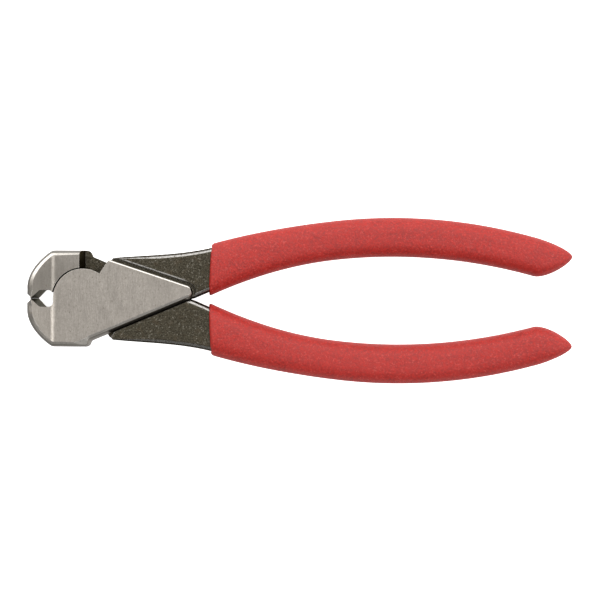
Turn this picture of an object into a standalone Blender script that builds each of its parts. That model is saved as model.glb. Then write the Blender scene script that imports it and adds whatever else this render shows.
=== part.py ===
"""End-cutting pliers, 160 mm: two identical forged levers in a lap joint, a flush rivet and two dipped grips.

The tool lies flat with its head towards -X, its handles towards +X and the pivot's axis along Z. The jaws
are closed. The upper lever has its lap on top, its jaw at -Y and its handle at +Y. The lower lever is the
same forging turned half a turn about the X axis. Outlines are in millimetres and solids in metres.
"""

import math

import bmesh
import bpy
import numpy as np
from mathutils import Matrix, Vector

MM = 0.001

# Joint, in millimetres from the pivot's axis and from the plane where the two laps meet.
JOINT_HALF = 6.2
LAP_GAP = 0.2
DISC_RADIUS = 8.7
DISC_GAP = 0.3
SHOULDER_ANGLE = 57.0
SHOULDER_RADIUS = 13.6
RIVET_RADIUS = 3.2
RIVET_HEAD_RADIUS = 4.8
RIVET_FIT = 0.1
RIVET_STEPS = 48

# Head.
FRONT_X = -16.5
FRONT_CURVE_Y = -3.3
FRONT_CURVE_HANDLES = (Vector((-16.5, -6.8)), Vector((-14.1, -10.9)))
CHEEK_X = -9.4
EDGE_X = -14.8
EDGE_GAP = 0.1
HEAD_HALF = 14.15
HEAD_CORNER_X = 1.6
HEAD_BAND_END_X = -0.6
NOTCH_HALF = 1.15
HOLLOW_DEPTH = 2.45
HOLLOW_CEILING_X = -12.3
HOLLOW_CORNER = 1.5
FLARE_START_X = -7.7
FLARE_RADIUS = 4.0
FLARE_ANGLE = 32.0
FLARE_STEPS = 5
JAW_END_X = -1.15

# Lap plate: a ground face that narrows to a tip between two straight edges.
PLATE_EDGE_ANGLE = 22.9
PLATE_EDGE_START = Vector((-1.9, -14.1))
PLATE_WAIST_X = 3.2
PLATE_TIP = Vector((36.2, 2.0))
PLATE_TIP_ROUND = 2.2
PLATE_SHORT_EDGE_ROUND = 0.35
LAP_CLEARANCE = 0.4

# Widths of the rounding along the outer edge, by x: at the front, the cheek, the end of the ground band,
# the head's corner and the waist.
OUTER_ROUND_X = (FRONT_X, CHEEK_X, HEAD_BAND_END_X, HEAD_CORNER_X, PLATE_WAIST_X)
OUTER_ROUND = (2.2, 1.6, 1.1, 2.1, 1.6)

# How the forged outer edges come in from the middle of the thickness to the top face, as shares of the
# edge's width and of the height.
CHEEK_SIDE = ((0.0, 0.0), (0.15, 0.55), (0.35, 0.8), (0.65, 0.94), (1.0, 1.0))

# Handle: a tang that bows outwards on one arc and widens towards the joint.
HANDLE_HALF = 4.3
HANDLE_ROUND = 1.5
HANDLE_FRONT_ROUND = 0.3
HANDLE_FULL_ROUND_X = 22.0
HANDLE_FRONT = Vector((8.5, 12.0))
HANDLE_NOSE = Vector((7.8, 11.2))
HANDLE_ROOT = Vector((9.4, 9.4))
CROTCH = Vector((32.5, 0.45))
HANDLE_CURVE_HANDLES = (Vector((28.6, 12.9)), Vector((18.4, 12.9)))
BOW_RADIUS = 154.0
BOW_PEAK = Vector((91.3, 18.6))
TANG_HALF = 4.4
TANG_WIDENING = 1.85
WIDE_X = 37.9
NARROW_X = 74.0
TANG_END_X = 130.3
TANG_END_LENGTH = 6.0

# Grip.
GRIP_WALL = 1.35
GRIP_HALF = 5.7
GRIP_FIT = 0.2
GRIP_FRONT_X = 36.6
GRIP_FRONT_LEAN = 0.55
GRIP_TAIL_X = 131.4
GRIP_TIP = Vector((142.95, 13.1))
GRIP_TAIL_INNER_HANDLES = (Vector((134.8, 6.55)), Vector((141.0, 9.8)))
GRIP_TAIL_OUTER_HANDLES = (Vector((135.2, 18.15)), Vector((142.4, 15.2)))
GRIP_END_SHARE = 0.15
GRIP_SQUARENESS = 2.8
GRIP_LIP = 0.7

STEEL_GROUND = (0.52, 0.50, 0.47, 1.0)
STEEL_FORGED = (0.12, 0.11, 0.09, 1.0)
VINYL_RED = (0.55, 0.045, 0.035, 1.0)


def clear_scene():
    for obj in list(bpy.data.objects):
        bpy.data.objects.remove(obj, do_unlink=True)


def material(name, color, roughness, metallic):
    made = bpy.data.materials.new(name)
    made.use_nodes = True
    shader = made.node_tree.nodes["Principled BSDF"]
    shader.inputs["Base Color"].default_value = color
    shader.inputs["Roughness"].default_value = roughness
    shader.inputs["Metallic"].default_value = metallic
    return made


# Outlines, as lists of 2-D points in millimetres.


def arc(centre, radius, start, end, steps):
    """Points on a circle from one angle to another, in degrees, both ends included."""
    angles = (math.radians(start + (end - start) * i / steps) for i in range(steps + 1))
    return [centre + radius * Vector((math.cos(a), math.sin(a))) for a in angles]


def bezier(start, first, second, end, steps):
    """Points on a cubic curve with two handles, both ends included."""
    points = []
    for i in range(steps + 1):
        t = i / steps
        s = 1 - t
        points.append(s**3 * start + 3 * s * s * t * first + 3 * s * t * t * second + t**3 * end)
    return points


def fillet(before, corner, after, radius, steps):
    """The arc that rounds a corner between two straight edges."""
    back, ahead = (before - corner).normalized(), (after - corner).normalized()
    half = back.angle(ahead) / 2
    centre = corner + (back + ahead).normalized() * radius / math.sin(half)
    start = corner + back * radius / math.tan(half) - centre
    end = corner + ahead * radius / math.tan(half) - centre
    turn = start.angle_signed(end)
    return [centre + Matrix.Rotation(-turn * i / steps, 2) @ start for i in range(steps + 1)]


def plate_edge(x, offset=0.0):
    """The point at x on the lap plate's long lower edge, moved outwards by offset."""
    slope = math.radians(PLATE_EDGE_ANGLE)
    y = PLATE_EDGE_START.y + (x - PLATE_EDGE_START.x) * math.tan(slope) - offset / math.cos(slope)
    return Vector((x, y))


def bow(x):
    """The tang's middle line at x."""
    drop = BOW_RADIUS - math.sqrt(BOW_RADIUS**2 - (x - BOW_PEAK.x) ** 2)
    return BOW_PEAK.y - drop


def tang_half(x):
    """Half the tang's width at x."""
    share = max(0.0, (NARROW_X - x) / (NARROW_X - WIDE_X))
    return TANG_HALF + TANG_WIDENING * share**2


def cheek_outline():
    """The jaw, the joint's disc and the lap plate from above, anticlockwise from the notch, as pairs of a
    point and the width of the rounding there."""
    origin = Vector((0, 0))
    turn = math.radians(SHOULDER_ANGLE)
    shoulder = SHOULDER_RADIUS * Vector((math.cos(turn), math.sin(turn)))
    front = Vector((FRONT_X, FRONT_CURVE_Y))
    cheek = Vector((CHEEK_X, -HEAD_HALF))
    side = Vector((HEAD_CORNER_X, -HEAD_HALF))
    waist = plate_edge(PLATE_WAIST_X)
    outer = [Vector((FRONT_X, -NOTCH_HALF))]
    outer += bezier(front, *FRONT_CURVE_HANDLES, cheek, 9)
    outer += [Vector((HEAD_BAND_END_X, -HEAD_HALF)), side, waist]
    tip = fillet(waist, PLATE_TIP, shoulder, PLATE_TIP_ROUND, 7)
    corner_x = -math.sqrt((DISC_RADIUS + HOLLOW_CORNER) ** 2 - (HOLLOW_DEPTH - HOLLOW_CORNER) ** 2)
    corner = Vector((corner_x, HOLLOW_CORNER - HOLLOW_DEPTH))
    touch = math.degrees(math.atan2(-corner.y, -corner.x))
    inner = arc(origin, DISC_RADIUS, SHOULDER_ANGLE, 180 + touch, 36)
    inner += arc(corner, HOLLOW_CORNER, touch, -90, 6)[1:]
    inner += [Vector((HOLLOW_CEILING_X, -HOLLOW_DEPTH)), Vector((EDGE_X, -EDGE_GAP / 2))]
    pairs = [(p, np.interp(p.x, OUTER_ROUND_X, OUTER_ROUND)) for p in outer]
    pairs += zip(tip, np.linspace(OUTER_ROUND[-1], PLATE_SHORT_EDGE_ROUND, len(tip)))
    return pairs + [(shoulder, PLATE_SHORT_EDGE_ROUND)] + [(p, 0.0) for p in inner]


def handle_outline(grow=0.0):
    """The handle from the lap plate to the tang's rounded end, anticlockwise along its inner side first."""
    wide_top = Vector((WIDE_X, bow(WIDE_X) + tang_half(WIDE_X) + grow))
    front, first, second = (p + Vector((0, grow)) for p in (HANDLE_FRONT, *HANDLE_CURVE_HANDLES))
    outer_edge = bezier(wide_top, first, second, front, 8)
    stations = np.linspace(WIDE_X, TANG_END_X, 15)
    inner = [Vector((x, bow(x) - tang_half(x) - grow)) for x in stations]
    outer = [Vector((x, bow(x) + tang_half(x) + grow)) for x in stations]
    centre, half = Vector((TANG_END_X, bow(TANG_END_X))), tang_half(TANG_END_X) + grow
    around = np.radians((-70, -50, -30, -10, 10, 30, 50, 70))
    end = [centre + Vector((TANG_END_LENGTH * math.cos(a), half * math.sin(a))) for a in around]
    root = [HANDLE_ROOT, CROTCH - Vector((1.2, -0.3)), CROTCH - Vector((0, grow))]
    return root + inner + end + outer[::-1] + outer_edge[1:] + [HANDLE_NOSE]


def lap_space_outline():
    """Where the cheek makes room below the meeting plane for the other lever's lap: all but the jaw."""
    radius = DISC_RADIUS + DISC_GAP
    jaw_end = 270 - math.degrees(math.asin(-JAW_END_X / radius))
    ahead, beside, behind = -24.0, 24.0, 60.0
    hollow_end = 190.0
    outline = [Vector((ahead, beside)), Vector((ahead, 1.0)), Vector((-12.5, 0.6))]
    outline += arc(Vector((0, 0)), radius, hollow_end, jaw_end, 20)
    outline += [Vector((JAW_END_X, -beside)), Vector((behind, -beside)), Vector((behind, beside))]
    return outline


def plate_space_outline():
    """Where the handle makes room below the meeting plane for the other lever's lap plate."""
    ahead, beside, behind = -4.0, 24.0, 60.0
    outline = [Vector((ahead, -beside)), Vector((behind, -beside)), Vector((behind, -2.0))]
    for x in (CROTCH.x, ahead):
        edge = plate_edge(x, LAP_CLEARANCE)
        outline.append(Vector((edge.x, -edge.y)))
    return outline


def flare_profile():
    """Heights of the head's face along x, as (x, z) points from the flat joint to ahead of the jaws."""
    centre = Vector((FLARE_START_X, JOINT_HALF + FLARE_RADIUS))
    points = arc(centre, FLARE_RADIUS, -90, -90 - FLARE_ANGLE, FLARE_STEPS)
    slope = math.radians(FLARE_ANGLE)
    reach = 12.0
    points.append(points[-1] + reach * Vector((-math.cos(slope), math.sin(slope))))
    return points


# Solids, in metres.


def new_object(name, shape):
    mesh = bpy.data.meshes.new(name)
    bmesh.ops.recalc_face_normals(shape, faces=shape.faces)
    shape.to_mesh(mesh)
    shape.free()
    obj = bpy.data.objects.new(name, mesh)
    bpy.context.collection.objects.link(obj)
    return obj


def loft(name, rings):
    """A closed solid through rings of points, each ring with as many points as the last."""
    shape = bmesh.new()
    loops = [[shape.verts.new(Vector(p) * MM) for p in ring] for ring in rings]
    for ring, following in zip(loops, loops[1:]):
        for i in range(len(ring)):
            j = (i + 1) % len(ring)
            shape.faces.new((ring[i], ring[j], following[j], following[i]))
    shape.faces.new(loops[0][::-1])
    shape.faces.new(loops[-1])
    return new_object(name, shape)


def prism(name, outline, low, high):
    """An outline extruded between two heights."""
    return loft(name, [[(p.x, p.y, z) for p in outline] for z in (low, high)])


def inset(pairs, share):
    """An anticlockwise outline moved inwards by a share of the width at each of its points."""
    moved = []
    for i, (point, width) in enumerate(pairs):
        before = (point - pairs[i - 1][0]).normalized()
        after = (pairs[(i + 1) % len(pairs)][0] - point).normalized()
        left_before, left_after = Vector((-before.y, before.x)), Vector((-after.y, after.x))
        mitre = (left_before + left_after) / (1 + left_before.dot(left_after))
        moved.append(point + mitre * width * share)
    return moved


def rounded_prism(name, pairs, half, side):
    """An outline at its full size half way up, brought in towards both faces along the given side."""
    rings = [[(p.x, p.y, half * height) for p in inset(pairs, share)] for share, height in side]
    mirrored = [[(x, y, -z) for x, y, z in ring] for ring in rings[:0:-1]]
    return loft(name, mirrored + rings)


def turned(name, profile, steps):
    """A solid of revolution about Z from a profile of (radius, z) points that starts and ends on the axis."""
    shape = bmesh.new()
    verts = [shape.verts.new(Vector((r, 0, z)) * MM) for r, z in profile]
    edges = [shape.edges.new(pair) for pair in zip(verts, verts[1:])]
    full = {"cent": (0, 0, 0), "axis": (0, 0, 1), "angle": 2 * math.pi, "steps": steps}
    bmesh.ops.spin(shape, geom=verts + edges, use_duplicate=False, **full)
    bmesh.ops.remove_doubles(shape, verts=shape.verts, dist=1e-6)
    return new_object(name, shape)


def combined(name, base, steps):
    """The mesh that a chain of Booleans makes of base; base and the other solids are then removed."""
    for operation, other in steps:
        cut = base.modifiers.new(other.name, "BOOLEAN")
        cut.operation = operation
        cut.object = other
    graph = bpy.context.evaluated_depsgraph_get()
    mesh = bpy.data.meshes.new_from_object(base.evaluated_get(graph))
    mesh.name = name
    for helper in [base] + [other for _, other in steps]:
        bpy.data.objects.remove(helper, do_unlink=True)
    return mesh


def flare(obj):
    """Scales the heights of a slab so that its faces follow the flare profile, with an edge at each break."""
    profile = flare_profile()
    shape = bmesh.new()
    shape.from_mesh(obj.data)
    for point in profile[:-1]:
        everything = shape.verts[:] + shape.edges[:] + shape.faces[:]
        bmesh.ops.bisect_plane(
            shape, geom=everything, dist=1e-7, plane_co=(point.x * MM, 0, 0), plane_no=(1, 0, 0)
        )
    xs, zs = [p.x * MM for p in reversed(profile)], [p.y for p in reversed(profile)]
    for vert in shape.verts:
        vert.co.z *= np.interp(vert.co.x, xs, zs) / JOINT_HALF
    shape.to_mesh(obj.data)
    shape.free()


def smooth_by_angle(mesh, degrees=30):
    mesh.shade_smooth()
    mesh.set_sharp_from_angle(angle=math.radians(degrees))


def from_mesh(name, mesh):
    obj = bpy.data.objects.new(name, mesh)
    bpy.context.collection.objects.link(obj)
    return obj


def rivet_profile(grow, end):
    """Half of the rivet's section: a shank with a countersunk head at each face, out to the height end."""
    shank, head = RIVET_RADIUS + grow, RIVET_HEAD_RADIUS + grow
    neck = JOINT_HALF - (RIVET_HEAD_RADIUS - RIVET_RADIUS)
    half = [(shank, neck), (head, JOINT_HALF)]
    if end > JOINT_HALF:
        half.append((head, end))
    top = half + [(0.0, end)]
    return [(r, -z) for r, z in reversed(top)] + top


def handle(name, grow=0.0):
    """The handle as a bar with quarter-round edges, for the tang itself or for the grip's cavity."""
    half = HANDLE_HALF + grow
    side = [(0.0, 0.0)]
    for turn in np.radians((0, 30, 60, 90)):
        side.append((1 - math.cos(turn), 1 - HANDLE_ROUND * (1 - math.sin(turn)) / half))
    reach = (HANDLE_FRONT.x, HANDLE_FULL_ROUND_X), (HANDLE_FRONT_ROUND, HANDLE_ROUND)
    pairs = [(p, np.interp(p.x, *reach)) for p in handle_outline(grow)]
    return rounded_prism(name, pairs, half, side)


def below_meeting_plane(name, outline):
    deep = 20.0
    return prism(name, outline, -deep, LAP_GAP / 2)


def lever_mesh():
    """One lever in the upper lever's place."""
    cheek = rounded_prism("cheek", cheek_outline(), JOINT_HALF, CHEEK_SIDE)
    flare(cheek)
    lap_space = below_meeting_plane("lap_space", lap_space_outline())
    cheek = from_mesh("cheek", combined("cheek", cheek, [("DIFFERENCE", lap_space)]))
    plate_space = below_meeting_plane("plate_space", plate_space_outline())
    tang = from_mesh("tang", combined("tang", handle("tang"), [("DIFFERENCE", plate_space)]))
    hole = turned("hole", rivet_profile(RIVET_FIT, JOINT_HALF + 1.0), RIVET_STEPS)
    mesh = combined("lever", cheek, [("UNION", tang), ("DIFFERENCE", hole)])
    smooth_by_angle(mesh)
    return mesh


def grip_section(low, high, half, shrink=0.0, lean=0.0, points=24):
    """An oval ring with squared sides, standing on the line from one side of the grip to the other."""
    middle, across = (low + high) / 2, (high - low) / 2
    across -= across.normalized() * shrink
    power = 2 / GRIP_SQUARENESS
    ring = []
    for i in range(points):
        a = 2 * math.pi * i / points
        c, s = math.cos(a), math.sin(a)
        side = middle + across * math.copysign(abs(c) ** power, c)
        height = (half - shrink) * math.copysign(abs(s) ** power, s)
        ring.append((side.x + lean * (side.y - middle.y), side.y, height))
    return ring


def grip_sides(x):
    """The grip's inner and outer side at x, apart from its tail."""
    half = tang_half(x) + GRIP_WALL
    return Vector((x, bow(x) - half)), Vector((x, bow(x) + half))


def grip_rings():
    """Sections of the grip's outside, from its rolled front lip to the point of its tail."""
    rings = []
    for depth, shrink in ((0.0, 1.0), (0.3, 0.3), (1.0, 0.0)):
        x = GRIP_FRONT_X + depth * GRIP_LIP + GRIP_FRONT_LEAN / 2
        lean = GRIP_FRONT_LEAN / (2 * tang_half(x))
        rings.append(grip_section(*grip_sides(x), GRIP_HALF, shrink * GRIP_LIP, lean))
    for x in np.linspace(41.4, GRIP_TAIL_X - 3, 16):
        rings.append(grip_section(*grip_sides(x), GRIP_HALF))
    inner, outer = grip_sides(GRIP_TAIL_X)
    lower = bezier(inner, *GRIP_TAIL_INNER_HANDLES, GRIP_TIP, 12)
    upper = bezier(outer, *GRIP_TAIL_OUTER_HANDLES, GRIP_TIP, 12)
    for low, high in list(zip(lower, upper))[:-1]:
        share = (high - low).length / (outer - inner).length
        swell = math.sqrt(max(0.0, 1 - (1 - share) ** 2))
        half = GRIP_HALF * (GRIP_END_SHARE + (1 - GRIP_END_SHARE) * swell)
        rings.append(grip_section(low, high, half))
    return rings


def grip_mesh():
    """A dipped sleeve, closed at its tail, around the tang."""
    mesh = combined("grip", loft("grip", grip_rings()), [("DIFFERENCE", handle("cavity", GRIP_FIT))])
    smooth_by_angle(mesh, 40)
    return mesh


def place(name, mesh, paint, parent, turned_over=False):
    obj = from_mesh(name, mesh)
    obj.parent = parent
    obj.rotation_euler.x = math.pi if turned_over else 0.0
    if not mesh.materials:
        mesh.materials.append(paint)
    return obj


def main():
    clear_scene()
    forged = material("forged_steel", STEEL_FORGED, 0.55, 0.9)
    ground = material("ground_steel", STEEL_GROUND, 0.35, 1.0)
    vinyl = material("red_vinyl", VINYL_RED, 0.6, 0.0)

    pivot = bpy.data.objects.new("pivot", None)
    bpy.context.collection.objects.link(pivot)
    pivot.location.z = JOINT_HALF * MM

    lever, grip = lever_mesh(), grip_mesh()
    rivet = turned("pivot_rivet", rivet_profile(0.0, JOINT_HALF), RIVET_STEPS)
    smooth_by_angle(rivet.data)
    rivet.data.materials.append(ground)
    rivet.parent = pivot
    place("upper_lever", lever, forged, pivot)
    place("lower_lever", lever, forged, pivot, turned_over=True)
    place("upper_lever_grip", grip, vinyl, pivot)
    place("lower_lever_grip", grip, vinyl, pivot, turned_over=True)


main()
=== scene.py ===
"""End-cutting pliers: fine forged levers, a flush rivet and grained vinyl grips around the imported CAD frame.

Shapes are drawn in millimetres in the frame of one lever: x towards the handles, z along the pivot from the
plane where the laps meet. The second lever is the same forging turned half a turn about x.
"""

import math

import bmesh
import bpy
import numpy as np
from mathutils import Matrix, Vector

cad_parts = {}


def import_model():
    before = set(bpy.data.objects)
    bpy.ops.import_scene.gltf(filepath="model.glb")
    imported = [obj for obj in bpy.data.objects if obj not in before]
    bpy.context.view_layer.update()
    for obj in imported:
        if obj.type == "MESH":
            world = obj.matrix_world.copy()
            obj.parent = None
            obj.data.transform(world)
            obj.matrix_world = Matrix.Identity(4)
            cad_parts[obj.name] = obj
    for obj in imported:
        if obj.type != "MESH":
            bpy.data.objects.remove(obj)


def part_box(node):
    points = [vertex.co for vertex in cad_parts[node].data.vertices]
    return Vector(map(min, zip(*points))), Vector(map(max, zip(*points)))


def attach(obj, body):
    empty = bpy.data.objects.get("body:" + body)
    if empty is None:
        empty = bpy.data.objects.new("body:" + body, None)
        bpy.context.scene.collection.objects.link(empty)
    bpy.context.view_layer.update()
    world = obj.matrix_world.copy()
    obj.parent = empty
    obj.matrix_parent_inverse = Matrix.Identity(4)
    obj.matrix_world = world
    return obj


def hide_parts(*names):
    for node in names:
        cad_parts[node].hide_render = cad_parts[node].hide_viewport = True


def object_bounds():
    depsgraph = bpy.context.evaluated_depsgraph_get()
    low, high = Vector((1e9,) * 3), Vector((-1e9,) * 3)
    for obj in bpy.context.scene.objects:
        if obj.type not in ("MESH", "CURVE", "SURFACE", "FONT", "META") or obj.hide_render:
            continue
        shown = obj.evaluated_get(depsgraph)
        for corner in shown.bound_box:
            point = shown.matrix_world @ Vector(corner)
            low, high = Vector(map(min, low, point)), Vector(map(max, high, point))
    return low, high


MM = 0.001

# Joint.
JOINT_HALF = 6.2
LAP_GAP = 0.2
DISC_RADIUS = 8.7
DISC_GAP = 0.42
SHOULDER_ANGLE = 57.0
SHOULDER_RADIUS = 13.6
RIVET_RADIUS = 3.2
RIVET_HEAD_RADIUS = 4.8
RIVET_FIT = 0.004
ROUND_STEPS = 128

# Head.
FRONT_X = -16.5
FRONT_CURVE_Y = -3.3
FRONT_CURVE_HANDLES = (Vector((-16.5, -6.8)), Vector((-14.1, -10.9)))
CHEEK_X = -9.4
EDGE_X = -14.8
EDGE_GAP = 0.02
HEAD_HALF = 14.15
HEAD_CORNER_X = 1.6
HEAD_BAND_END_X = -0.6
CHEEK_ROUND = 2.0
CHEEK_CURVE_END = 1.1
HEAD_CORNER_ROUND = 1.6
WAIST_ROUND = 0.8
HOLLOW_CEILING_ROUND = 0.8
NOTCH_HALF = 1.15
HOLLOW_DEPTH = 2.45
HOLLOW_CEILING_X = -12.3
HOLLOW_CORNER = 1.5
FLARE_START_X = -7.7
FLARE_RADIUS = 4.0
FLARE_ANGLE = 32.0
JAW_END_X = -1.15
STEP_RUN = 1.25

# Lap plate.
PLATE_EDGE_ANGLE = 22.9
PLATE_EDGE_START = Vector((-1.9, -14.1))
PLATE_WAIST_X = 2.3
PLATE_BAND = 1.45
PLATE_BAND_SLOPE = 0.4
PLATE_TIP = Vector((36.2, 2.0))
PLATE_TIP_ROUND = 2.2
PLATE_SHORT_EDGE_ROUND = 0.05
PLATE_SIDE_WIDTH = 2.4
EDGE_CURVE_END = 65.0
EDGE_CURVE_POWER = 0.83
CHAMFER_SHARE = 0.42
CHAMFER_DROP = 0.07
BEVEL_RUN = 0.38
BEVEL_DROP = 0.17
LAP_CLEARANCE = 0.15
LAP_SPACE_NOSE = Vector((-12.5, 0.6))
OUTER_ROUND_X = (FRONT_X, CHEEK_X, HEAD_BAND_END_X, HEAD_CORNER_X, PLATE_WAIST_X)
OUTER_ROUND = (2.2, 1.6, 1.3, 1.4, 1.6)
GROOVE_WIDTH = 1.15
GROOVE_DEPTH = 0.22
GROOVE_SECTION = ((0.62, -GROOVE_DEPTH), (1.0, 0.0), (1.3, 2.0))
CUT_REACH = 24.0
CUT_BACK_X = 60.0
CUT_DEPTH = 12.0

# Handle.
HANDLE_HALF = 4.3
HANDLE_ROUND = 1.5
HANDLE_FRONT_ROUND = 0.3
HANDLE_FULL_ROUND_X = 22.0
HANDLE_FRONT = Vector((8.5, 12.0))
HANDLE_NOSE = Vector((7.8, 11.2))
HANDLE_ROOT = Vector((10.2, 7.6))
HANDLE_ROOT_END = Vector((29.0, -0.7))
CROTCH = Vector((32.5, 0.45))
HANDLE_CURVE_HANDLES = (Vector((28.6, 12.9)), Vector((18.4, 12.9)))
BOW_RADIUS = 154.0
BOW_PEAK = Vector((91.3, 18.6))
TANG_HALF = 4.4
TANG_WIDENING = 1.85
WIDE_X = 37.9
NARROW_X = 74.0
TANG_END_X = 130.3
TANG_END_LENGTH = 6.0

# Grip.
GRIP_WALL = 1.35
GRIP_HALF = 5.7
GRIP_FIT = 0.2
GRIP_FRONT_X = 36.6
GRIP_FRONT_LEAN = 0.55
GRIP_LEAN_LENGTH = 12.0
GRIP_BODY_X = 39.0
GRIP_TAIL_X = 131.4
GRIP_TIP = Vector((142.95, 13.1))
GRIP_TAIL_INNER_HANDLES = (Vector((135.0, 6.2)), Vector((143.0, 11.2)))
GRIP_TAIL_OUTER_HANDLES = (Vector((135.2, 18.15)), Vector((143.0, 15.1)))
GRIP_END_SHARE = 0.15
GRIP_SQUARENESS = 2.8
GRIP_LIP = 0.7

# Camera, in metres: straight above, a little turned, with the pivot left of the middle.
CAMERA_CENTRE = Vector((0.0632, 0.0))
CAMERA_HEIGHT = 0.6
VIEW_WIDTH = 0.1764
VIEW_TURN = -0.37

# World: strengths away from and towards the bright side, and the gain near the horizon.
WORLD_DARK = 0.24
WORLD_LIGHT = 0.64
WORLD_LOW = 1.6
WORLD_TOWARDS = (0.45, 0.9, 0.0)
WORLD_SPAN = (-0.8, 0.5)
WORLD_COLOR = (1.0, 0.985, 0.96, 1)

# Colours, linear.
STEEL_DARK = (0.26, 0.238, 0.213, 1)
STEEL_LIGHT = (0.38, 0.352, 0.318, 1)
STEEL_STREAK = (0.39, 0.358, 0.322, 1)
STEEL_CLOUD = (0.27, 0.247, 0.22, 1)
STEEL_GRIT = (0.23, 0.21, 0.185, 1)
# Painted shade for the ground faces on the lever's bottom side.
STEEL_UNDERSIDE_SHADE = (0.13, 0.122, 0.108, 1)
STEEL_PIT = (0.13, 0.11, 0.085, 1)
STEEL_POLISHED = (0.73, 0.70, 0.65, 1)
FORGED_DARK = (0.020, 0.017, 0.011, 1)
FORGED_LIGHT = (0.078, 0.069, 0.050, 1)
FORGED_RUST = (0.075, 0.056, 0.036, 1)
FORGED_SPECK = (0.24, 0.225, 0.19, 1)
# Painted shade in the groove beside the lap plate.
FORGED_GROOVE_SHADE = (0.012, 0.010, 0.007, 1)
# Painted shade in the hollow between the jaws.
FORGED_HOLLOW_SHADE = (0.07, 0.064, 0.048, 1)
# Worn edges, also used for a painted highlight on the groove's ridge.
FORGED_WORN_AND_LIP_HIGHLIGHT = (0.36, 0.35, 0.335, 1)
FORGED_TINT = (0.42, 0.40, 0.35, 1)
VINYL_DARK = (0.25, 0.005, 0.0025, 1)
VINYL_LIGHT = (0.42, 0.012, 0.006, 1)
VINYL_CLOUD = (0.42, 0.014, 0.007, 1)
VINYL_FLECK = (0.62, 0.075, 0.062, 1)

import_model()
cad_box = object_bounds()
rivet_low, rivet_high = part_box("pivot_rivet")
PIVOT_Z = (rivet_low[2] + rivet_high[2]) / 2


# Outlines, as lists of 2-D points in millimetres.


def arc(centre, radius, start, end, steps):
    angles = (math.radians(start + (end - start) * i / steps) for i in range(steps + 1))
    return [centre + radius * Vector((math.cos(a), math.sin(a))) for a in angles]


def bezier(start, first, second, end, steps):
    points = []
    for i in range(steps + 1):
        t = i / steps
        s = 1 - t
        points.append(s**3 * start + 3 * s * s * t * first + 3 * s * t * t * second + t**3 * end)
    return points


def fillet(before, corner, after, radius, steps):
    back, ahead = (before - corner).normalized(), (after - corner).normalized()
    half = back.angle(ahead) / 2
    centre = corner + (back + ahead).normalized() * radius / math.sin(half)
    start = corner + back * radius / math.tan(half) - centre
    end = corner + ahead * radius / math.tan(half) - centre
    turn = start.angle_signed(end)
    return [centre + Matrix.Rotation(-turn * i / steps, 2) @ start for i in range(steps + 1)]


def plate_edge(x, offset=0.0):
    """The lap plate's long edge at x, moved outwards by an offset."""
    slope = math.radians(PLATE_EDGE_ANGLE)
    y = PLATE_EDGE_START.y + (x - PLATE_EDGE_START.x) * math.tan(slope) - offset / math.cos(slope)
    return Vector((x, y))


def bow(x):
    """The handle's middle line."""
    return BOW_PEAK.y - BOW_RADIUS + math.sqrt(BOW_RADIUS**2 - (x - BOW_PEAK.x) ** 2)


def tang_half(x):
    share = max(0.0, (NARROW_X - x) / (NARROW_X - WIDE_X))
    return TANG_HALF + TANG_WIDENING * share**2


def shoulder_point():
    """Where the lap plate's short side meets the notch beside the disc."""
    turn = math.radians(SHOULDER_ANGLE)
    return SHOULDER_RADIUS * Vector((math.cos(turn), math.sin(turn)))


def cheek_outline():
    """Jaw, disc and lap plate, anticlockwise from the notch, as pairs of a point and its rounding's width."""
    shoulder = shoulder_point()
    cheek = Vector((CHEEK_X, -HEAD_HALF))
    side = Vector((HEAD_CORNER_X, -HEAD_HALF))
    waist = plate_edge(PLATE_WAIST_X)
    front = bezier(Vector((FRONT_X, FRONT_CURVE_Y)), *FRONT_CURVE_HANDLES, cheek, 36)
    front = [p for p in front if (p - cheek).length > CHEEK_CURVE_END]
    outer = [Vector((FRONT_X, -NOTCH_HALF))] + front
    outer += fillet(front[-1], cheek, side, CHEEK_ROUND, 8) + [Vector((HEAD_BAND_END_X, -HEAD_HALF))]
    outer += fillet(cheek, side, waist, HEAD_CORNER_ROUND, 6)
    outer += fillet(side, waist, PLATE_TIP, WAIST_ROUND, 5)
    tip = fillet(waist, PLATE_TIP, shoulder, PLATE_TIP_ROUND, 18)
    corner_x = -math.sqrt((DISC_RADIUS + HOLLOW_CORNER) ** 2 - (HOLLOW_DEPTH - HOLLOW_CORNER) ** 2)
    corner = Vector((corner_x, HOLLOW_CORNER - HOLLOW_DEPTH))
    touch = math.degrees(math.atan2(-corner.y, -corner.x))
    inner = arc(Vector((0, 0)), DISC_RADIUS, SHOULDER_ANGLE, 180 + touch, 110)
    inner += arc(corner, HOLLOW_CORNER, touch, -90, 18)[1:]
    ceiling = [Vector((HOLLOW_CEILING_X, -HOLLOW_DEPTH)), Vector((EDGE_X, -EDGE_GAP / 2))]
    inner += fillet(inner[-1], ceiling[0], ceiling[1], HOLLOW_CEILING_ROUND, 6) + [ceiling[1]]
    pairs = [(p, float(np.interp(p.x, OUTER_ROUND_X, OUTER_ROUND))) for p in outer]
    pairs += zip(tip, np.linspace(OUTER_ROUND[-1], PLATE_SHORT_EDGE_ROUND, len(tip)))
    return pairs + [(shoulder, PLATE_SHORT_EDGE_ROUND)] + [(p, 0.0) for p in inner]


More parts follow.
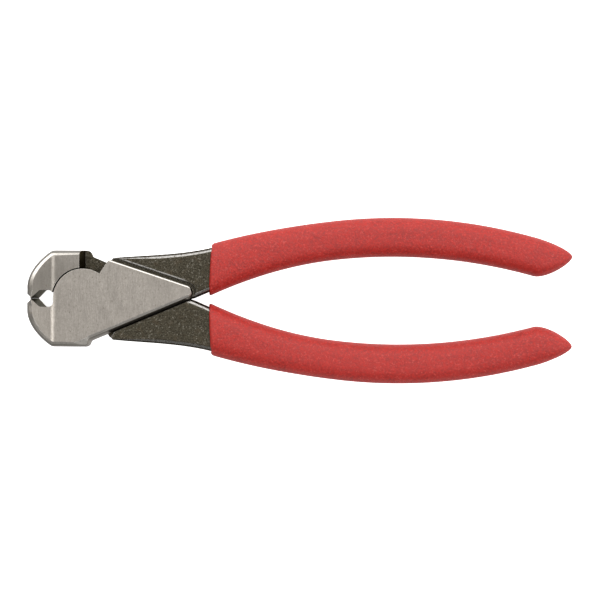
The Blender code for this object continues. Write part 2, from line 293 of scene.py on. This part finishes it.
def handle_outline(grow=0.0):
    """The handle from the lap plate to the tang's rounded end, anticlockwise along its inner side first."""
    wide_top = Vector((WIDE_X, bow(WIDE_X) + tang_half(WIDE_X) + grow))
    front, first, second = (p + Vector((0, grow)) for p in (HANDLE_FRONT, *HANDLE_CURVE_HANDLES))
    outer_edge = bezier(wide_top, first, second, front, 30)
    stations = np.linspace(WIDE_X, TANG_END_X, 50)
    inner = [Vector((x, bow(x) - tang_half(x) - grow)) for x in stations]
    outer = [Vector((x, bow(x) + tang_half(x) + grow)) for x in stations]
    centre, half = Vector((TANG_END_X, bow(TANG_END_X))), tang_half(TANG_END_X) + grow
    around = np.radians(np.linspace(-80, 80, 17))
    end = [centre + Vector((TANG_END_LENGTH * math.cos(a), half * math.sin(a))) for a in around]
    root = [HANDLE_ROOT, HANDLE_ROOT_END, CROTCH - Vector((0, grow))]
    return root + inner + end + outer[::-1] + outer_edge[1:] + [HANDLE_NOSE]


def lap_space_outline(back):
    """Where the cheek makes room below the meeting plane, with the jaw's end moved back."""
    radius = DISC_RADIUS + DISC_GAP
    jaw_end = JAW_END_X + back
    ahead, beside, behind = -CUT_REACH, CUT_REACH, CUT_BACK_X
    outline = [Vector((ahead, beside)), Vector((ahead, 1.0)), LAP_SPACE_NOSE]
    outline += arc(Vector((0, 0)), radius, 190.0, 270 + math.degrees(math.asin(jaw_end / radius)), 60)
    outline += [Vector((jaw_end, -beside)), Vector((behind, -beside)), Vector((behind, beside))]
    return outline


def plate_space_outline():
    """Where the other lever's lap plate lies, below the meeting plane."""
    ahead = -4.0
    outline = [Vector((ahead, -CUT_REACH)), Vector((CUT_BACK_X, -CUT_REACH)), Vector((CUT_BACK_X, -2.0))]
    for x in (CROTCH.x, ahead):
        edge = plate_edge(x, LAP_CLEARANCE)
        outline.append(Vector((edge.x, -edge.y)))
    return outline


def groove_outline(width):
    """The lap plate's short side and tip moved outwards."""
    shoulder = shoulder_point()
    waist = plate_edge(PLATE_WAIST_X)
    tip = fillet(waist, PLATE_TIP, shoulder, PLATE_TIP_ROUND, 18)
    pairs = [(p, -width * i / (len(tip) - 1)) for i, p in enumerate(tip)]
    start = tip[-1].lerp(shoulder, 0.93)
    pairs += [(start, -width), (start + Vector((0.0, -4.0)), 0.0)]
    return inset(pairs, 1.0)


def short_edge_outline(inwards):
    """Outside the lap plate's short side, with the boundary moved over the plate."""
    shoulder = shoulder_point()
    tip = fillet(plate_edge(PLATE_WAIST_X), PLATE_TIP, shoulder, PLATE_TIP_ROUND, 18)
    along = (shoulder - tip[-1]).normalized()
    pairs = [(p, inwards * i / (len(tip) - 1)) for i, p in enumerate(tip)]
    beyond, reach = shoulder + 2.0 * along, 8.0
    pairs += [(beyond, inwards), (beyond + reach * Vector((along.y, -along.x)), 0.0)]
    pairs.append((tip[0] + Vector((reach, -0.5)), 0.0))
    return inset(pairs, 1.0)


def band_outline(outwards):
    """Outside the lap plate's long edge, with the boundary moved outwards from the ground face's edge."""
    ahead, behind, reach = -6.0, 12.0, 8.0
    near = [plate_edge(x, outwards - PLATE_BAND) for x in (behind, ahead)]
    return near + [plate_edge(x, reach) for x in (ahead, behind)]


def flare_profile():
    centre = Vector((FLARE_START_X, JOINT_HALF + FLARE_RADIUS))
    points = arc(centre, FLARE_RADIUS, -90, -90 - FLARE_ANGLE, 16)
    slope = math.radians(FLARE_ANGLE)
    points.append(points[-1] + 12.0 * Vector((-math.cos(slope), math.sin(slope))))
    return points


# Solids, in metres.


def new_object(name, shape):
    mesh = bpy.data.meshes.new(name)
    bmesh.ops.recalc_face_normals(shape, faces=shape.faces)
    shape.to_mesh(mesh)
    shape.free()
    obj = bpy.data.objects.new(name, mesh)
    bpy.context.collection.objects.link(obj)
    return obj


def loft(name, rings):
    shape = bmesh.new()
    loops = [[shape.verts.new(Vector(p) * MM) for p in ring] for ring in rings]
    for ring, following in zip(loops, loops[1:]):
        for i in range(len(ring)):
            j = (i + 1) % len(ring)
            shape.faces.new((ring[i], ring[j], following[j], following[i]))
    shape.faces.new(loops[0][::-1])
    shape.faces.new(loops[-1])
    return new_object(name, shape)


def prism(name, outline, low, high):
    return loft(name, [[(p.x, p.y, z) for p in outline] for z in (low, high)])


def inset(pairs, share):
    """Each point moved inwards by a share of its own width."""
    moved = []
    for i, (point, width) in enumerate(pairs):
        before = (point - pairs[i - 1][0]).normalized()
        after = (pairs[(i + 1) % len(pairs)][0] - point).normalized()
        left_before, left_after = Vector((-before.y, before.x)), Vector((-after.y, after.x))
        mitre = (left_before + left_after) / (1 + left_before.dot(left_after))
        moved.append(point + mitre * width * share)
    return moved


def rounded_prism(name, pairs, half, side):
    rings = [[(p.x, p.y, half * height) for p in inset(pairs, share)] for share, height in side]
    mirrored = [[(x, y, -z) for x, y, z in ring] for ring in rings[:0:-1]]
    return loft(name, mirrored + rings)


def turned(name, profile, steps):
    shape = bmesh.new()
    verts = [shape.verts.new(Vector((r, 0, z)) * MM) for r, z in profile]
    edges = [shape.edges.new(pair) for pair in zip(verts, verts[1:])]
    full = {"cent": (0, 0, 0), "axis": (0, 0, 1), "angle": 2 * math.pi, "steps": steps}
    bmesh.ops.spin(shape, geom=verts + edges, use_duplicate=False, **full)
    bmesh.ops.remove_doubles(shape, verts=shape.verts, dist=1e-6)
    return new_object(name, shape)


def from_mesh(name, mesh):
    obj = bpy.data.objects.new(name, mesh)
    bpy.context.collection.objects.link(obj)
    return obj


def combined(name, base, steps):
    """The mesh that a chain of Booleans makes of base; base and the other solids are then removed."""
    for operation, other in steps:
        cut = base.modifiers.new(other.name, "BOOLEAN")
        cut.operation = operation
        cut.object = other
    graph = bpy.context.evaluated_depsgraph_get()
    mesh = bpy.data.meshes.new_from_object(base.evaluated_get(graph))
    mesh.name = name
    for helper in [base] + [other for _, other in steps]:
        bpy.data.objects.remove(helper, do_unlink=True)
    return mesh


def flare(obj):
    """Thickens the jaw's end of a slab along the flare's profile."""
    profile = flare_profile()
    shape = bmesh.new()
    shape.from_mesh(obj.data)
    for point in profile[:-1]:
        everything = shape.verts[:] + shape.edges[:] + shape.faces[:]
        bmesh.ops.bisect_plane(
            shape, geom=everything, dist=1e-7, plane_co=(point.x * MM, 0, 0), plane_no=(1, 0, 0)
        )
    xs, zs = [p.x * MM for p in reversed(profile)], [p.y for p in reversed(profile)]
    for vert in shape.verts:
        vert.co.z *= np.interp(vert.co.x, xs, zs) / JOINT_HALF
    shape.to_mesh(obj.data)
    shape.free()


def rivet_profile(grow, end):
    shank, head = RIVET_RADIUS + grow, RIVET_HEAD_RADIUS + grow
    neck = JOINT_HALF - (RIVET_HEAD_RADIUS - RIVET_RADIUS)
    half = [(shank, neck), (head, JOINT_HALF)]
    if end > JOINT_HALF:
        half.append((head, end))
    top = half + [(0.0, end)]
    return [(r, -z) for r, z in reversed(top)] + top


def handle(name, grow=0.0):
    half = HANDLE_HALF + grow
    side = [(0.0, 0.0)]
    for turn in np.radians(np.linspace(0, 90, 10)):
        side.append((1 - math.cos(turn), 1 - HANDLE_ROUND * (1 - math.sin(turn)) / half))
    reach = (HANDLE_FRONT.x, HANDLE_FULL_ROUND_X), (HANDLE_FRONT_ROUND, HANDLE_ROUND)
    pairs = [(p, float(np.interp(p.x, *reach))) for p in handle_outline(grow)]
    return rounded_prism(name, pairs, half, side)


def cheek_side():
    """The outer edge's section: a steep curve from the middle, then a flat chamfer up to the face."""
    turns = np.radians(np.linspace(0, EDGE_CURVE_END, 10))
    shares, heights = 1 - np.cos(turns), np.sin(turns) ** EDGE_CURVE_POWER
    shares *= (1 - CHAMFER_SHARE) / shares[-1]
    heights *= (1 - CHAMFER_DROP) / heights[-1]
    return list(zip(shares, heights)) + [(1.0, 1.0)]


def slanted(name, outline, section):
    """A solid whose outline changes with height; section pairs the outline's argument with z."""
    return loft(name, [[(p.x, p.y, z) for p in outline(change)] for change, z in section])


def cheek_mesh():
    """Jaw and lap plate: the flared slab less the other plate's space and the bevels of the ground face."""
    cheek = rounded_prism("cheek", cheek_outline(), JOINT_HALF, cheek_side())
    flare(cheek)
    slant = STEP_RUN / (JOINT_HALF + LAP_GAP / 2)
    lap_section = (STEP_RUN - slant * (LAP_GAP / 2 + CUT_DEPTH), -CUT_DEPTH), (STEP_RUN, LAP_GAP / 2)
    rise = 3.0
    bevel_section = (0.0, JOINT_HALF - BEVEL_DROP), (BEVEL_RUN * rise, JOINT_HALF + BEVEL_DROP * (rise - 1))
    below, above = 3.0, 2.0
    band_section = [(run, JOINT_HALF - run * PLATE_BAND_SLOPE) for run in (below, -above)]
    cutters = (
        slanted("lap_space", lap_space_outline, lap_section),
        slanted("bevel", short_edge_outline, bevel_section),
        slanted("band", band_outline, band_section),
    )
    return combined("cheek", cheek, [("DIFFERENCE", cutter) for cutter in cutters])


def tang_mesh():
    """Handle and tang less the space of the other lever's plate and the groove beside the own plate."""
    plate_space = prism("plate_space", plate_space_outline(), -CUT_DEPTH, LAP_GAP / 2)
    groove_section = [(GROOVE_WIDTH * width, HANDLE_HALF + rise) for width, rise in GROOVE_SECTION]
    groove = slanted("groove", groove_outline, groove_section)
    return combined("tang", handle("tang"), [("DIFFERENCE", plate_space), ("DIFFERENCE", groove)])


def lever_mesh():
    cheek, tang = from_mesh("cheek", cheek_mesh()), from_mesh("tang", tang_mesh())
    hole = turned("hole", rivet_profile(RIVET_FIT, JOINT_HALF + 1.0), ROUND_STEPS)
    return combined("lever", cheek, [("UNION", tang), ("DIFFERENCE", hole)])


def grip_section(low, high, half, shrink=0.0, lean=0.0, points=96):
    middle, across = (low + high) / 2, (high - low) / 2
    across -= across.normalized() * shrink
    power = 2 / GRIP_SQUARENESS
    ring = []
    for i in range(points):
        a = 2 * math.pi * i / points
        c, s = math.cos(a), math.sin(a)
        side = middle + across * math.copysign(abs(c) ** power, c)
        height = (half - shrink) * math.copysign(abs(s) ** power, s)
        ring.append((side.x + lean * (side.y - middle.y), side.y, height))
    return ring


def grip_sides(x):
    half = tang_half(x) + GRIP_WALL
    return Vector((x, bow(x) - half)), Vector((x, bow(x) + half))


def grip_rings():
    rings = []
    for turn in np.radians(np.linspace(0, 90, 7)):
        depth, shrink = 1 - math.cos(turn), 1 - math.sin(turn)
        x = GRIP_FRONT_X + depth * GRIP_LIP + GRIP_FRONT_LEAN / 2
        lean = GRIP_FRONT_LEAN / (2 * tang_half(x))
        rings.append(grip_section(*grip_sides(x), GRIP_HALF, shrink * GRIP_LIP, lean))
    for x in np.linspace(GRIP_BODY_X, GRIP_TAIL_X - 1, 70):
        lean = GRIP_FRONT_LEAN / (2 * tang_half(x)) * max(0.0, 1 - (x - GRIP_FRONT_X) / GRIP_LEAN_LENGTH)
        rings.append(grip_section(*grip_sides(x), GRIP_HALF, 0.0, lean))
    inner, outer = grip_sides(GRIP_TAIL_X)
    lower = bezier(inner, *GRIP_TAIL_INNER_HANDLES, GRIP_TIP, 48)
    upper = bezier(outer, *GRIP_TAIL_OUTER_HANDLES, GRIP_TIP, 48)
    for low, high in list(zip(lower, upper))[:-1]:
        share = (high - low).length / (outer - inner).length
        swell = math.sqrt(max(0.0, 1 - (1 - share) ** 2))
        half = GRIP_HALF * (GRIP_END_SHARE + (1 - GRIP_END_SHARE) * swell)
        rings.append(grip_section(low, high, half))
    return rings


def grip_mesh():
    return combined("grip", loft("grip", grip_rings()), [("DIFFERENCE", handle("cavity", GRIP_FIT))])


# Materials.


class Nodes:
    """A material's node tree with short calls for the nodes used here. Positions are in millimetres."""

    def __init__(self, name):
        self.material = bpy.data.materials.new(name)
        self.material.use_nodes = True
        self.tree = self.material.node_tree
        self.shader = self.tree.nodes["Principled BSDF"]
        coordinates = self.tree.nodes.new("ShaderNodeTexCoord")
        self.position = self.vector("SCALE", coordinates.outputs["Object"], scale=1 / MM)

    def link(self, source, socket):
        if isinstance(source, bpy.types.NodeSocket):
            self.tree.links.new(source, socket)
        else:
            socket.default_value = source

    def vector(self, operation, first, second=None, scale=None):
        node = self.tree.nodes.new("ShaderNodeVectorMath")
        node.operation = operation
        self.link(first, node.inputs[0])
        if second is not None:
            self.link(second, node.inputs[1])
        if scale is not None:
            node.inputs["Scale"].default_value = scale
        return node.outputs["Value" if operation in ("LENGTH", "DOT_PRODUCT") else "Vector"]

    def math(self, operation, first, second=0.0, clamp=False):
        node = self.tree.nodes.new("ShaderNodeMath")
        node.operation = operation
        node.use_clamp = clamp
        self.link(first, node.inputs[0])
        self.link(second, node.inputs[1])
        return node.outputs[0]

    def axis(self, index, vector=None):
        node = self.tree.nodes.new("ShaderNodeSeparateXYZ")
        self.link(vector or self.position, node.inputs[0])
        return node.outputs[index]

    def noise(self, stretch, detail=3.0, roughness=0.5, distortion=0.0, offset=(0.0, 0.0, 0.0)):
        """Noise with about one feature per unit after position is multiplied by stretch."""
        place = self.vector("ADD", self.vector("MULTIPLY", self.position, stretch), offset)
        node = self.tree.nodes.new("ShaderNodeTexNoise")
        node.inputs["Scale"].default_value = 1.0
        node.inputs["Detail"].default_value = detail
        node.inputs["Roughness"].default_value = roughness
        node.inputs["Distortion"].default_value = distortion
        self.link(place, node.inputs["Vector"])
        return node.outputs["Fac"]

    def cells(self, stretch):
        node = self.tree.nodes.new("ShaderNodeTexVoronoi")
        node.inputs["Scale"].default_value = 1.0
        self.link(self.vector("MULTIPLY", self.position, stretch), node.inputs["Vector"])
        return node.outputs["Distance"]

    def ramp(self, source, low, high, start=0.0, end=1.0):
        node = self.tree.nodes.new("ShaderNodeMapRange")
        node.interpolation_type = "SMOOTHSTEP"
        for socket, value in zip(("From Min", "From Max", "To Min", "To Max"), (low, high, start, end)):
            node.inputs[socket].default_value = value
        self.link(source, node.inputs["Value"])
        return node.outputs["Result"]

    def mix(self, share, first, second, blend="MIX"):
        node = self.tree.nodes.new("ShaderNodeMix")
        node.data_type = "RGBA"
        node.blend_type = blend
        self.link(share, node.inputs["Factor"])
        self.link(first, node.inputs["A"])
        self.link(second, node.inputs["B"])
        return node.outputs["Result"]

    def rounded(self, radius):
        """The surface's normal with its sharp edges rounded to a radius in millimetres."""
        node = self.tree.nodes.new("ShaderNodeBevel")
        node.samples = 8
        node.inputs["Radius"].default_value = radius * MM
        return node.outputs["Normal"]

    def edge(self, normal):
        """How far the rounded normal turns from the true one: 0 on a face, towards 1 on a sharp edge."""
        geometry = self.tree.nodes.new("ShaderNodeNewGeometry")
        along = self.vector("DOT_PRODUCT", normal, geometry.outputs["True Normal"])
        return self.math("SUBTRACT", 1.0, along, clamp=True)

    def blended(self, normal, share):
        """The given normal where share is 1, and the surface's own where it is 0."""
        own = self.tree.nodes.new("ShaderNodeNewGeometry").outputs["Normal"]
        return self.vector("ADD", own, self.vector("MULTIPLY", self.vector("SUBTRACT", normal, own), share))

    def flatness_across(self):
        """1 where the surface leans only along the tool, less where it also leans sideways."""
        coordinates = self.tree.nodes.new("ShaderNodeTexCoord")
        sideways = self.math("ABSOLUTE", self.axis(1, coordinates.outputs["Normal"]))
        return self.math("SUBTRACT", 1.0, sideways)

    def turned_edge(self):
        """1 where a rounded edge leans about 22 to 39 degrees out of the level, whatever its direction."""
        geometry = self.tree.nodes.new("ShaderNodeNewGeometry")
        level = self.math("ABSOLUTE", self.axis(2, geometry.outputs["Normal"]))
        return self.math("MULTIPLY", self.ramp(level, 0.985, 0.93), self.ramp(level, 0.66, 0.78))

    def groove(self):
        """Masks of painted shade in the groove beside the lap plate's short side and of a painted highlight on
        the thin ridge beyond it.
        """
        shoulder = shoulder_point()
        along = (PLATE_TIP - shoulder).normalized()
        across = Vector((-along.y, along.x, 0.0))
        reached = self.vector("DOT_PRODUCT", self.position, across)
        out = self.math("SUBTRACT", reached, across.xy.dot(shoulder))
        top = self.ramp(self.axis(2), JOINT_HALF / 2, HANDLE_HALF - GROOVE_DEPTH)
        reach = self.math("MULTIPLY", self.ramp(self.axis(0), 9.5, 13.0), self.ramp(self.axis(0), 31.0, 28.0))
        # Painted shade along the groove's floor.
        groove_shade = self.math("MULTIPLY", top, self.ramp(out, GROOVE_WIDTH + 0.1, GROOVE_WIDTH - 0.15))
        # Painted highlight on the ridge beyond the groove.
        lip_highlight = self.math("MULTIPLY", self.ramp(out, GROOVE_WIDTH - 0.05, GROOVE_WIDTH + 0.1), top)
        lip_highlight = self.math("MULTIPLY", lip_highlight, self.ramp(out, GROOVE_WIDTH + 0.45, GROOVE_WIDTH + 0.2))
        return self.math("MULTIPLY", groove_shade, self.ramp(out, -0.6, -0.2)), self.math("MULTIPLY", lip_highlight, reach)

    def hollow(self):
        """The hollow between the jaws, as a mask for the painted shade there."""
        beside = self.math("ABSOLUTE", self.axis(1))
        start = self.ramp(self.axis(0), EDGE_X - 1.0, EDGE_X - 0.4)
        end = self.ramp(self.axis(0), 0.1 - DISC_RADIUS, -0.5 - DISC_RADIUS)
        along = self.math("MULTIPLY", start, end)
        return self.math("MULTIPLY", along, self.ramp(beside, HOLLOW_DEPTH + 0.6, HOLLOW_DEPTH + 0.2))

    def bump(self, height, distance, strength, normal=None):
        """A bump with its height's unit in millimetres."""
        node = self.tree.nodes.new("ShaderNodeBump")
        node.inputs["Distance"].default_value = distance * MM
        node.inputs["Strength"].default_value = strength
        self.link(height, node.inputs["Height"])
        if normal is not None:
            self.link(normal, node.inputs["Normal"])
        return node.outputs["Normal"]

    def finish(self, color, roughness, normal, metallic):
        self.link(color, self.shader.inputs["Base Color"])
        self.link(roughness, self.shader.inputs["Roughness"])
        self.link(normal, self.shader.inputs["Normal"])
        self.shader.inputs["Metallic"].default_value = metallic
        return self.material


def ground_steel(name):
    """Belt-ground steel: fine streaks across the tool, small pits, gentle waves, brighter edges and painted
    shade in clouds on the bottom side's faces.
    """
    n = Nodes(name)
    fine = n.noise((7.0, 0.35, 7.0), detail=4.0, roughness=0.65)
    broad = n.noise((1.1, 0.12, 1.1), detail=3.0)
    clouds = n.noise((0.09, 0.12, 0.12), detail=2.0, offset=(4.0, 1.0, 0.0))
    grit = n.noise((2.2, 1.5, 2.2), detail=4.0, roughness=0.75, offset=(6.0, 2.0, 8.0))
    waves = n.noise((0.16, 0.11, 0.16), detail=1.0, offset=(2.0, 6.0, 3.0))
    pits = n.ramp(n.noise((2.4, 0.9, 2.4), detail=1.0, offset=(7.0, 3.0, 0.0)), 0.66, 0.75)
    dashes = n.ramp(n.noise((2.2, 0.35, 2.2), detail=1.0, offset=(1.0, 9.0, 2.0)), 0.68, 0.76)
    marks = n.math("MAXIMUM", n.math("MULTIPLY", pits, 0.55), n.math("MULTIPLY", dashes, 0.3))
    radius = n.vector("LENGTH", n.vector("MULTIPLY", n.position, (1.0, 1.0, 0.0)))
    outside_rivet = n.ramp(radius, RIVET_HEAD_RADIUS + 0.3, RIVET_HEAD_RADIUS + 0.8)
    normal = n.blended(n.rounded(0.2), outside_rivet)
    edge = n.math("MULTIPLY", n.ramp(n.edge(normal), 0.02, 0.2), outside_rivet)
    polished = n.math("MULTIPLY", n.turned_edge(), n.ramp(grit, 0.3, 0.5, 0.35, 0.8))
    in_flare = n.ramp(n.axis(0), FLARE_START_X + 0.2, FLARE_START_X - 0.2)
    in_face = n.math("MULTIPLY", in_flare, n.ramp(n.flatness_across(), 0.985, 0.995))
    polished = n.math("MULTIPLY", polished, n.math("SUBTRACT", 1.0, in_face))
    # Painted shade: the ground faces on the bottom side, which face up on the turned-over lever, darkened in
    # clouds.
    underside_shade = n.math("MULTIPLY", n.ramp(n.axis(2), 0.0, -JOINT_HALF), n.ramp(clouds, 0.2, 0.6, 0.45, 1.0))
    color = n.mix(n.ramp(fine, 0.25, 0.75), STEEL_DARK, STEEL_LIGHT)
    color = n.mix(n.ramp(broad, 0.3, 0.7, 0.0, 0.35), color, STEEL_STREAK)
    color = n.mix(n.ramp(clouds, 0.35, 0.7, 0.0, 0.3), color, STEEL_CLOUD)
    color = n.mix(n.ramp(grit, 0.35, 0.65, 0.0, 0.6), color, STEEL_GRIT)
    color = n.mix(n.math("MULTIPLY", underside_shade, 0.6), color, STEEL_UNDERSIDE_SHADE)
    color = n.mix(marks, color, STEEL_PIT)
    color = n.mix(n.math("MAXIMUM", n.math("MULTIPLY", edge, 0.7), polished), color, STEEL_POLISHED)
    roughness = n.ramp(n.math("ADD", fine, n.math("MULTIPLY", broad, 0.6)), 0.4, 1.2, 0.28, 0.42)
    height = n.math("SUBTRACT", n.math("MULTIPLY", fine, 0.5), n.math("MULTIPLY", marks, 0.8))
    wavy = n.bump(waves, 0.5, 0.5, normal)
    return n.finish(color, roughness, n.bump(height, 0.03, 0.35, wavy), 1.0)


def forged_steel(name):
    """Dark tempered forging: grainy skin, lighter specks, worn edges, painted shade in the groove beside the
    lap plate and in the hollow between the jaws, and a painted highlight on the groove's ridge.
    """
    n = Nodes(name)
    grain = n.noise((2.6, 2.6, 2.6), detail=5.0, roughness=0.75)
    lumps = n.noise((0.9, 0.9, 0.9), detail=3.0, offset=(3.0, 5.0, 1.0))
    specks = n.ramp(n.noise((2.0, 2.0, 2.0), detail=3.0, roughness=0.65, offset=(11.0, 2.0, 6.0)), 0.56, 0.70)
    rust = n.ramp(n.noise((0.5, 0.5, 0.5), detail=4.0, offset=(1.0, 7.0, 2.0)), 0.5, 0.7)
    patches = n.ramp(n.noise((2.2, 2.2, 2.2), detail=4.0, roughness=0.7, offset=(8.0, 4.0, 2.0)), 0.30, 0.52)
    normal = n.rounded(0.3)
    worn = n.math("MULTIPLY", n.turned_edge(), patches)
    edge = n.math("MULTIPLY", n.ramp(n.edge(normal), 0.02, 0.16), patches)
    groove_shade, lip_highlight = n.groove()
    lip_highlight = n.math("MULTIPLY", lip_highlight, patches)
    # Worn edges together with the painted highlight on the groove's ridge.
    bright = n.math("MAXIMUM", n.math("MAXIMUM", n.math("MULTIPLY", edge, 0.3), worn), lip_highlight)
    color = n.mix(n.ramp(grain, 0.35, 0.65), FORGED_DARK, FORGED_LIGHT)
    color = n.mix(n.math("MULTIPLY", rust, 0.35), color, FORGED_RUST)
    color = n.mix(n.math("MULTIPLY", specks, 0.6), color, FORGED_SPECK)
    # Painted shade in the groove.
    color = n.mix(n.math("MULTIPLY", groove_shade, 0.3), color, FORGED_GROOVE_SHADE)
    # Painted shade: the hollow between the jaws mostly set to one flat colour.
    color = n.mix(n.math("MULTIPLY", n.hollow(), 0.75), color, FORGED_HOLLOW_SHADE)
    color = n.mix(bright, color, FORGED_WORN_AND_LIP_HIGHLIGHT)
    roughness = n.ramp(n.math("ADD", grain, n.math("MULTIPLY", lumps, 0.5)), 0.5, 1.1, 0.30, 0.50)
    roughness = n.math("SUBTRACT", roughness, n.math("MULTIPLY", bright, 0.12))
    height = n.math("ADD", grain, lumps)
    n.shader.inputs["Specular Tint"].default_value = FORGED_TINT
    return n.finish(color, roughness, n.bump(height, 0.06, 0.6, normal), 1.0)


def red_vinyl(name):
    """Dipped vinyl: a fine pebbled skin with tiny lighter grains."""
    n = Nodes(name)
    grain = n.noise((1.5, 1.5, 1.5), detail=5.0, roughness=0.8)
    pebble = n.cells((1.7, 1.7, 1.7))
    clouds = n.noise((0.15, 0.25, 0.25), detail=3.0, offset=(2.0, 8.0, 1.0))
    flecks = n.ramp(n.noise((1.7, 1.7, 1.7), detail=4.0, roughness=0.75, offset=(5.0, 1.0, 9.0)), 0.53, 0.68)
    color = n.mix(n.ramp(grain, 0.38, 0.62), VINYL_DARK, VINYL_LIGHT)
    color = n.mix(n.math("MULTIPLY", n.ramp(clouds, 0.35, 0.65), 0.3), color, VINYL_CLOUD)
    color = n.mix(n.math("MULTIPLY", flecks, 0.55), color, VINYL_FLECK)
    roughness = n.ramp(grain, 0.3, 0.7, 0.44, 0.64)
    height = n.math("ADD", grain, n.math("MULTIPLY", pebble, 0.5))
    return n.finish(color, roughness, n.bump(height, 0.16, 0.7), 0.0)


# Pieces.


def is_ground(centre, normal):
    """Whether a lever's face, by its middle in millimetres and its normal, is a ground one."""
    face = abs(normal.z) > 0.5 and abs(centre.z) > JOINT_HALF - 0.05
    jaw = centre.x < JAW_END_X + 0.05 and centre.xy.length > DISC_RADIUS + 0.35
    hollow = abs(centre.y) < HOLLOW_DEPTH + 0.1 and centre.x > EDGE_X + 0.9
    jaw_outside = jaw and not hollow and centre.y < 0 and abs(normal.z) < 0.999
    long_side = centre.z > LAP_GAP and normal.y < -0.15 and JAW_END_X < centre.x < CROTCH.x - 1
    plate_side = long_side and centre.y < plate_edge(centre.x, -PLATE_SIDE_WIDTH).y
    bevel = centre.z > JOINT_HALF - BEVEL_DROP and normal.z > 0.5
    return face or jaw_outside or plate_side or bevel


def shaded(mesh, materials, choose=None, degrees=17):
    for made in materials:
        mesh.materials.append(made)
    if choose:
        for face in mesh.polygons:
            face.material_index = 0 if choose(face.center / MM, face.normal) else 1
    mesh.shade_smooth()
    mesh.set_sharp_from_angle(angle=math.radians(degrees))
    return mesh


def place(name, mesh, turned_over, body, node, slot):
    obj = from_mesh(name, mesh)
    obj.location.z = PIVOT_Z
    obj.rotation_euler.x = math.pi if turned_over else 0.0
    weighted = obj.modifiers.new("weighted_normals", "WEIGHTED_NORMAL")
    weighted.keep_sharp = True
    bpy.context.view_layer.update()
    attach(obj, body)
    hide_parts(node)
    return obj


def pliers():
    ground, forged, vinyl = ground_steel("ground_steel"), forged_steel("forged_steel"), red_vinyl("vinyl")
    lever = shaded(lever_mesh(), [ground, forged], is_ground)
    rivet = turned("rivet", rivet_profile(0.0, JOINT_HALF), ROUND_STEPS)
    rivet_mesh = shaded(rivet.data, [ground])
    bpy.data.objects.remove(rivet, do_unlink=True)
    grip = shaded(grip_mesh(), [vinyl], degrees=50)
    place("upper_lever_steel", lever, False, "upper_half", "upper_lever", "upper_lever_steel")
    place("lower_lever_steel", lever, True, "lower_half", "lower_lever", "lower_lever_steel")
    place("rivet_steel", rivet_mesh, False, "upper_half", "pivot_rivet", "rivet_steel")
    place("upper_grip_vinyl", grip, False, "upper_half", "upper_lever_grip", "upper_grip_vinyl")
    place("lower_grip_vinyl", grip, True, "lower_half", "lower_lever_grip", "lower_grip_vinyl")


# Stage.


def floor():
    half, gap = 3.0, 0.0002
    shape = bmesh.new()
    bmesh.ops.create_grid(shape, x_segments=1, y_segments=1, size=half)
    obj = new_object("floor", shape)
    obj.location.z = cad_box[0][2] - gap
    made = bpy.data.materials.new("floor_paper")
    made.use_nodes = True
    shader = made.node_tree.nodes["Principled BSDF"]
    shader.inputs["Base Color"].default_value = (0.93, 0.93, 0.93, 1)
    shader.inputs["Roughness"].default_value = 0.9
    shader.inputs["Emission Color"].default_value = (1, 1, 1, 1)
    shader.inputs["Emission Strength"].default_value = 1.0
    obj.data.materials.append(made)
    obj.visible_glossy = False


def area_light(name, place, aim, size, power):
    light = bpy.data.lights.new(name, "AREA")
    light.shape = "RECTANGLE"
    light.size, light.size_y = size
    light.energy = power
    obj = bpy.data.objects.new(name, light)
    bpy.context.collection.objects.link(obj)
    obj.location = place
    obj.rotation_euler = (Vector(aim) - Vector(place)).to_track_quat("-Z", "Y").to_euler()


def world():
    """A dim room, brighter towards the back right and near the horizon."""
    made = bpy.data.worlds.new("studio")
    made.use_nodes = True
    nodes, link = made.node_tree.nodes, made.node_tree.links.new
    direction = nodes.new("ShaderNodeTexCoord").outputs["Generated"]
    facing, upper = nodes.new("ShaderNodeVectorMath"), nodes.new("ShaderNodeSeparateXYZ")
    facing.operation = "DOT_PRODUCT"
    facing.inputs[1].default_value = WORLD_TOWARDS
    link(direction, facing.inputs[0])
    link(direction, upper.inputs[0])
    shade, horizon = nodes.new("ShaderNodeMapRange"), nodes.new("ShaderNodeMapRange")
    shade.interpolation_type = "SMOOTHSTEP"
    ranges = (shade, (*WORLD_SPAN, WORLD_DARK, WORLD_LIGHT)), (horizon, (0.0, 0.5, WORLD_LOW, 1.0))
    for node, values in ranges:
        for socket, value in zip(("From Min", "From Max", "To Min", "To Max"), values):
            node.inputs[socket].default_value = value
    link(facing.outputs["Value"], shade.inputs["Value"])
    link(upper.outputs["Z"], horizon.inputs["Value"])
    strength = nodes.new("ShaderNodeMath")
    strength.operation = "MULTIPLY"
    link(shade.outputs["Result"], strength.inputs[0])
    link(horizon.outputs["Result"], strength.inputs[1])
    link(strength.outputs[0], nodes["Background"].inputs["Strength"])
    nodes["Background"].inputs["Color"].default_value = WORLD_COLOR
    bpy.context.scene.world = made


def softboxes():
    aim = (0.05, 0.0, 0.0)
    area_light("back", (0.0, 0.9, 0.75), aim, (1.6, 0.8), 7.6)
    area_light("left", (-0.62, 0.5, 0.95), aim, (0.5, 0.6), 2.6)
    area_light("right", (1.1, -0.1, 0.45), aim, (1.2, 0.5), 2.2)
    area_light("top", (-0.1, 0.1, 1.3), aim, (1.2, 1.2), 2.8)
    area_light("strip", (0.55, -0.05, 1.2), aim, (1.2, 0.32), 5.6)


def camera():
    data = bpy.data.cameras.new("camera")
    data.angle = 2 * math.atan(VIEW_WIDTH / 2 / CAMERA_HEIGHT)
    data.clip_start = 0.01
    obj = bpy.data.objects.new("camera", data)
    bpy.context.collection.objects.link(obj)
    obj.location = (CAMERA_CENTRE.x, CAMERA_CENTRE.y, PIVOT_Z + CAMERA_HEIGHT)
    obj.rotation_euler.z = math.radians(-VIEW_TURN)
    bpy.context.scene.camera = obj


camera()
pliers()
floor()
world()
softboxes()
bpy.context.scene.view_settings.view_transform = "Standard"
